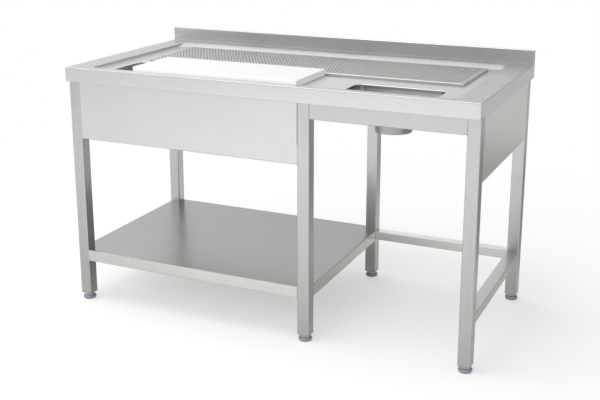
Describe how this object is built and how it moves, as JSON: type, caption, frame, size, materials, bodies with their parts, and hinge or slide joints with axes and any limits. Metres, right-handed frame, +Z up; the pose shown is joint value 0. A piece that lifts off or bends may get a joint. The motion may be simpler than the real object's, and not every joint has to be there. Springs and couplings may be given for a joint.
{
  "type": "fish preparation table",
  "caption": "Stainless fish preparation table with sink bowl under a cutting board, perforated drain plate, scrap trough with round outlet, lower shelf and bin bay.",
  "frame": {"origin": "on the floor under the middle of the worktop", "axes": "+X along the front to the right, +Y from the front to the back, +Z up"},
  "size_m": [1.4, 0.7, 0.873],
  "materials": {
    "stainless_sheet": "fine satin grain along the length of each sheet",
    "stainless_tube": "satin grain along the tube",
    "plate_steel": "satin with punched holes",
    "waste_steel": "polished",
    "board_plastic": "matt white polyethylene",
    "pipe_plastic": "white, smooth",
    "nut_plastic": "dark grey, moulded",
    "foot_plastic": "blue grey, moulded",
    "foot_metal": "zinc plated, blue cast",
    "insert_plastic": "grey, moulded"
  },
  "bodies": {
    "table": {"worktop": "stainless_sheet", "sink_bowl": "stainless_sheet", "drain_pan": "stainless_sheet", "drain_spout": "stainless_tube", "scrap_trough": "stainless_sheet", "scrap_outlet": "stainless_tube", "waste_sleeve": "waste_steel", "waste_nut": "nut_plastic", "waste_tail": "pipe_plastic", "leg_front_left": "stainless_tube", "leg_front_mid": "stainless_tube", "leg_front_right": "stainless_tube", "leg_rear_left": "stainless_tube", "leg_rear_mid": "stainless_tube", "leg_rear_right": "stainless_tube", "insert_front_left": "insert_plastic", "insert_front_mid": "insert_plastic", "insert_front_right": "insert_plastic", "insert_rear_left": "insert_plastic", "insert_rear_mid": "insert_plastic", "insert_rear_right": "insert_plastic", "front_apron": "stainless_sheet", "front_rail": "stainless_sheet", "rear_apron_left": "stainless_sheet", "rear_apron_right": "stainless_sheet", "side_apron_left": "stainless_sheet", "side_apron_right": "stainless_sheet", "rear_lower_rail": "stainless_tube", "side_lower_rail": "stainless_tube", "mid_bearer": "stainless_tube", "lower_shelf": "stainless_sheet", "shelf_stiffener_front": "stainless_sheet", "shelf_stiffener_rear": "stainless_sheet"},
    "board": {"cutting_board": "board_plastic"},
    "plate": {"perforated_plate": "plate_steel"},
    "standpipe": {"overflow_pipe": "pipe_plastic"},
    "pad_front_left": {"foot_pad_front_left": "foot_plastic"},
    "pad_front_mid": {"foot_pad_front_mid": "foot_plastic"},
    "pad_front_right": {"foot_pad_front_right": "foot_plastic"},
    "pad_rear_left": {"foot_pad_rear_left": "foot_plastic"},
    "pad_rear_mid": {"foot_pad_rear_mid": "foot_plastic"},
    "pad_rear_right": {"foot_pad_rear_right": "foot_plastic"},
    "screw_front_left": {"foot_screw_front_left": "foot_metal"},
    "screw_front_mid": {"foot_screw_front_mid": "foot_metal"},
    "screw_front_right": {"foot_screw_front_right": "foot_metal"},
    "screw_rear_left": {"foot_screw_rear_left": "foot_metal"},
    "screw_rear_mid": {"foot_screw_rear_mid": "foot_metal"},
    "screw_rear_right": {"foot_screw_rear_right": "foot_metal"}
  },
  "joints": [
    {"name": "board_lift", "type": "slide", "parent": "table", "child": "board", "axis": [0, 0, 1], "range_m": [0, 0.12]},
    {"name": "plate_lift", "type": "slide", "parent": "table", "child": "plate", "axis": [0, 0, 1], "range_m": [0, 0.12]},
    {"name": "standpipe_lift", "type": "slide", "parent": "table", "child": "standpipe", "axis": [0, 0, 1], "range_m": [0, 0.3]},
    {"name": "foot_travel_front_left", "type": "slide", "parent": "table", "child": "pad_front_left", "axis": [0, 0, -1], "range_m": [0, 0.03]},
    {"name": "foot_travel_front_mid", "type": "slide", "parent": "table", "child": "pad_front_mid", "axis": [0, 0, -1], "range_m": [0, 0.03]},
    {"name": "foot_travel_front_right", "type": "slide", "parent": "table", "child": "pad_front_right", "axis": [0, 0, -1], "range_m": [0, 0.03]},
    {"name": "foot_travel_rear_left", "type": "slide", "parent": "table", "child": "pad_rear_left", "axis": [0, 0, -1], "range_m": [0, 0.03]},
    {"name": "foot_travel_rear_mid", "type": "slide", "parent": "table", "child": "pad_rear_mid", "axis": [0, 0, -1], "range_m": [0, 0.03]},
    {"name": "foot_travel_rear_right", "type": "slide", "parent": "table", "child": "pad_rear_right", "axis": [0, 0, -1], "range_m": [0, 0.03]},
    {"name": "foot_turn_front_left", "type": "hinge", "parent": "pad_front_left", "child": "screw_front_left", "pos_m": [-0.6782, -0.314, 0.01], "axis": [0, 0, -1], "range_deg": [0, 6171]},
    {"name": "foot_turn_front_mid", "type": "hinge", "parent": "pad_front_mid", "child": "screw_front_mid", "pos_m": [0.155, -0.314, 0.01], "axis": [0, 0, -1], "range_deg": [0, 6171]},
    {"name": "foot_turn_front_right", "type": "hinge", "parent": "pad_front_right", "child": "screw_front_right", "pos_m": [0.6782, -0.314, 0.01], "axis": [0, 0, -1], "range_deg": [0, 6171]},
    {"name": "foot_turn_rear_left", "type": "hinge", "parent": "pad_rear_left", "child": "screw_rear_left", "pos_m": [-0.6782, 0.29, 0.01], "axis": [0, 0, -1], "range_deg": [0, 6171]},
    {"name": "foot_turn_rear_mid", "type": "hinge", "parent": "pad_rear_mid", "child": "screw_rear_mid", "pos_m": [0.155, 0.29, 0.01], "axis": [0, 0, -1], "range_deg": [0, 6171]},
    {"name": "foot_turn_rear_right", "type": "hinge", "parent": "pad_rear_right", "child": "screw_rear_right", "pos_m": [0.6782, 0.29, 0.01], "axis": [0, 0, -1], "range_deg": [0, 6171]}
  ],
  "couplings": [
    {"joint": "foot_travel_front_left", "follows": "foot_turn_front_left", "m_per_rad": 0.00027852},
    {"joint": "foot_travel_front_mid", "follows": "foot_turn_front_mid", "m_per_rad": 0.00027852},
    {"joint": "foot_travel_front_right", "follows": "foot_turn_front_right", "m_per_rad": 0.00027852},
    {"joint": "foot_travel_rear_left", "follows": "foot_turn_rear_left", "m_per_rad": 0.00027852},
    {"joint": "foot_travel_rear_mid", "follows": "foot_turn_rear_mid", "m_per_rad": 0.00027852},
    {"joint": "foot_travel_rear_right", "follows": "foot_turn_rear_right", "m_per_rad": 0.00027852}
  ]
}
